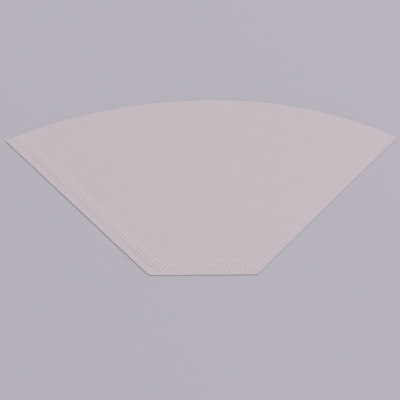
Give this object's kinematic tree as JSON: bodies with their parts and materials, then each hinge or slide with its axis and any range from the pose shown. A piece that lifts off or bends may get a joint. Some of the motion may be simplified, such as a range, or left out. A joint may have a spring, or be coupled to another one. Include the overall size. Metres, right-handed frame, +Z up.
{
  "type": "paper coffee filter",
  "caption": "Folded flat wedge-shaped paper coffee filter with crimped side and bottom seams, a fold along the other side and an open curved mouth.",
  "frame": {"origin": "underside of the filter as it lies flat, at the middle of its bounding box", "axes": "+X towards the folded side, +Y from the short bottom edge to the open curved mouth, +Z up from the underside"},
  "size_m": [0.2052, 0.1402, 0.0028],
  "materials": {
    "filter_paper": "bleached white creped filter paper, matt"
  },
  "bodies": {
    "root": {"coffee_filter": "filter_paper"}
  },
  "joints": []
}
